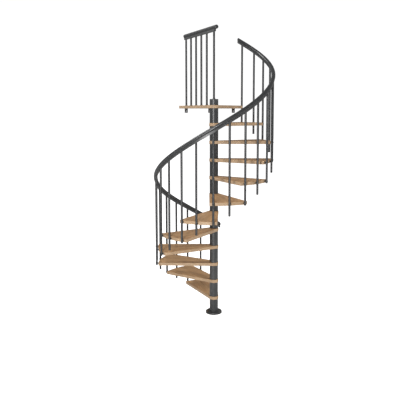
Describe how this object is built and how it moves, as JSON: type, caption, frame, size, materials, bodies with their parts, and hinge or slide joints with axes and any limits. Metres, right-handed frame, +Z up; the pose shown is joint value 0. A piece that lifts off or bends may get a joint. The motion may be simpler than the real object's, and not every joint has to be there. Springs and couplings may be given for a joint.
{
  "type": "spiral staircase",
  "caption": "Steel-column spiral staircase with wedge oak treads, upright bar balusters, a helical handrail and a landing with a straight railing.",
  "frame": {"origin": "centre of the base flange's underside, on the stair axis at floor level", "axes": "+Z up along the column, +Y towards the landing's straight wall edge, +X to its right"},
  "size_m": [1.421, 1.4827, 3.4192],
  "materials": {
    "steel": "anthracite powder coat, satin",
    "rail": "anthracite moulded handrail, soft sheen",
    "oak": "light oak staves, clear matt lacquer"
  },
  "bodies": {
    "root": {"base_flange": "steel", "column_cap": "steel", "column_sleeve_01": "steel", "column_sleeve_02": "steel", "column_sleeve_03": "steel", "column_sleeve_04": "steel", "column_sleeve_05": "steel", "column_sleeve_06": "steel", "column_sleeve_07": "steel", "column_sleeve_08": "steel", "column_sleeve_09": "steel", "column_sleeve_10": "steel", "column_sleeve_11": "steel", "column_sleeve_12": "steel", "column_top_sleeve": "steel", "connecting_balusters": "steel", "core_tube": "steel", "handrail": "rail", "handrail_end_caps": "rail", "landing": "oak", "landing_handrail": "rail", "landing_posts": "steel", "landing_rail_carrier": "steel", "landing_rail_end_caps": "rail", "leading_brackets": "steel", "middle_balusters": "steel", "middle_brackets": "steel", "rail_carrier": "steel", "trailing_brackets": "steel", "tread_01": "oak", "tread_02": "oak", "tread_03": "oak", "tread_04": "oak", "tread_05": "oak", "tread_06": "oak", "tread_07": "oak", "tread_08": "oak", "tread_09": "oak", "tread_10": "oak", "tread_11": "oak", "wall_brackets": "steel"}
  },
  "joints": []
}
